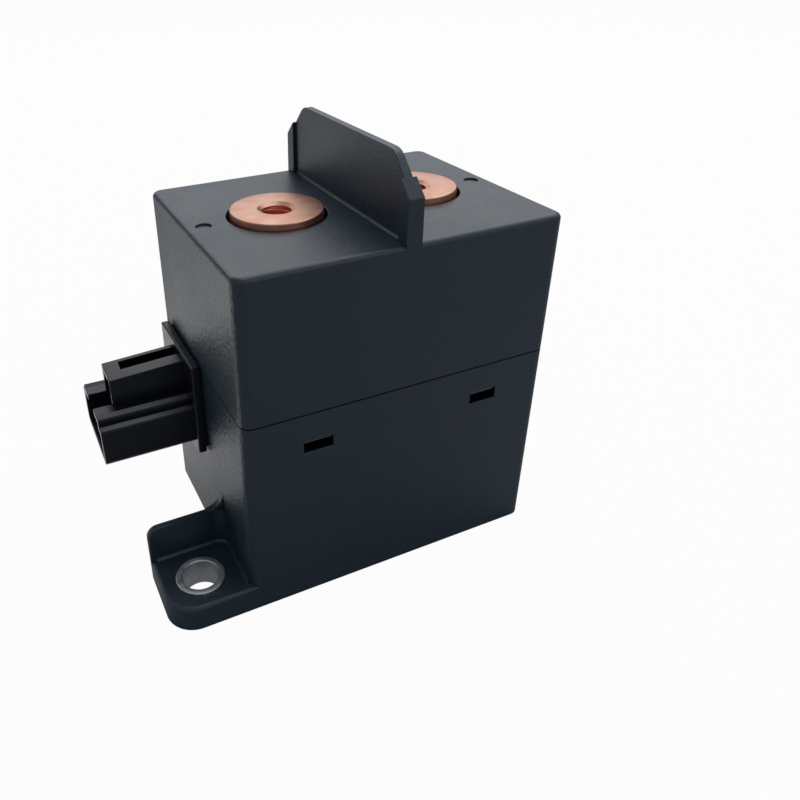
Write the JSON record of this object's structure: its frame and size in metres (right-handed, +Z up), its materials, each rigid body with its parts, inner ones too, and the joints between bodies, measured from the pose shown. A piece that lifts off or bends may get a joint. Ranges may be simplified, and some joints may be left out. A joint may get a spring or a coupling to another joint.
{
  "type": "high voltage dc contactor",
  "caption": "Black moulded contactor with threaded copper terminals parted by a barrier, steel-bushed diagonal feet, a side coil connector and a sprung plunger that closes a contact bridge.",
  "frame": {"origin": "middle of the body's rectangle on the flat underside of the base", "axes": "+X along the body's long side away from the coil connector, +Y from the front face to the rear face, +Z up through the terminals"},
  "size_m": [0.0909, 0.044, 0.0771],
  "materials": {
    "housing_black": "satin moulded black plastic with a fine spark-eroded grain",
    "cover_black": "satin moulded black plastic",
    "terminal_copper": "turned bare copper",
    "bush_steel": "zinc plated steel",
    "connector_black": "semi-gloss black moulded plastic",
    "tinned_blade": "tin plated brass strip",
    "lead_black": "insulated wire",
    "lead_red": "insulated wire",
    "rubber_pad": "matt rubber",
    "yoke_iron": "nickel plated soft iron",
    "bobbin_plastic": "natural moulded plastic",
    "winding_copper": "enamelled copper wire",
    "thin_steel": "bright stainless steel",
    "spring_steel": "oiled spring wire",
    "chamber_ceramic": "fired alumina",
    "braze_alloy": "brazed alloy",
    "shield_plastic": "arc resistant moulded plastic",
    "magnet": "nickel plated magnet"
  },
  "bodies": {
    "housing": {"base_housing": "housing_black", "top_cover": "cover_black", "terminal_left": "terminal_copper", "terminal_right": "terminal_copper", "mount_bush_front": "bush_steel", "mount_bush_rear": "bush_steel", "connector_header": "connector_black", "coil_blade_front": "tinned_blade", "coil_blade_rear": "tinned_blade", "coil_lead_front": "lead_black", "coil_lead_rear": "lead_red", "base_pad": "rubber_pad", "yoke_frame": "yoke_iron", "yoke_plate": "yoke_iron", "coil_bobbin": "bobbin_plastic", "coil_winding": "winding_copper", "guide_cup": "thin_steel", "damper_pad": "rubber_pad", "fixed_core": "yoke_iron", "return_spring": "spring_steel", "ceramic_chamber": "chamber_ceramic", "chamber_ring": "thin_steel", "braze_washer_left": "braze_alloy", "braze_washer_right": "braze_alloy", "arc_shield": "shield_plastic", "gas_fill_tube": "terminal_copper", "magnet_front": "magnet", "magnet_rear": "magnet", "backing_plate_front": "yoke_iron", "backing_plate_rear": "yoke_iron"},
    "armature": {"plunger": "yoke_iron", "drive_shaft": "thin_steel", "spring_seat": "thin_steel", "retaining_clip": "spring_steel", "contact_spring": "spring_steel"},
    "bridge": {"contact_bridge": "terminal_copper"}
  },
  "joints": [
    {"name": "plunger_stroke", "type": "slide", "parent": "housing", "child": "armature", "axis": [0, 0, 1], "range_m": [0, 0.002], "stiffness_N_per_m": 800, "springref_m": -0.004, "deforming": ["return_spring"]},
    {"name": "bridge_overtravel", "type": "slide", "parent": "armature", "child": "bridge", "axis": [0, 0, 1], "range_m": [-0.0005, 0], "deforming": ["contact_spring"]}
  ],
  "couplings": [
    {"joint": "bridge_overtravel", "follows": "plunger_stroke", "ratio": -0.25}
  ]
}
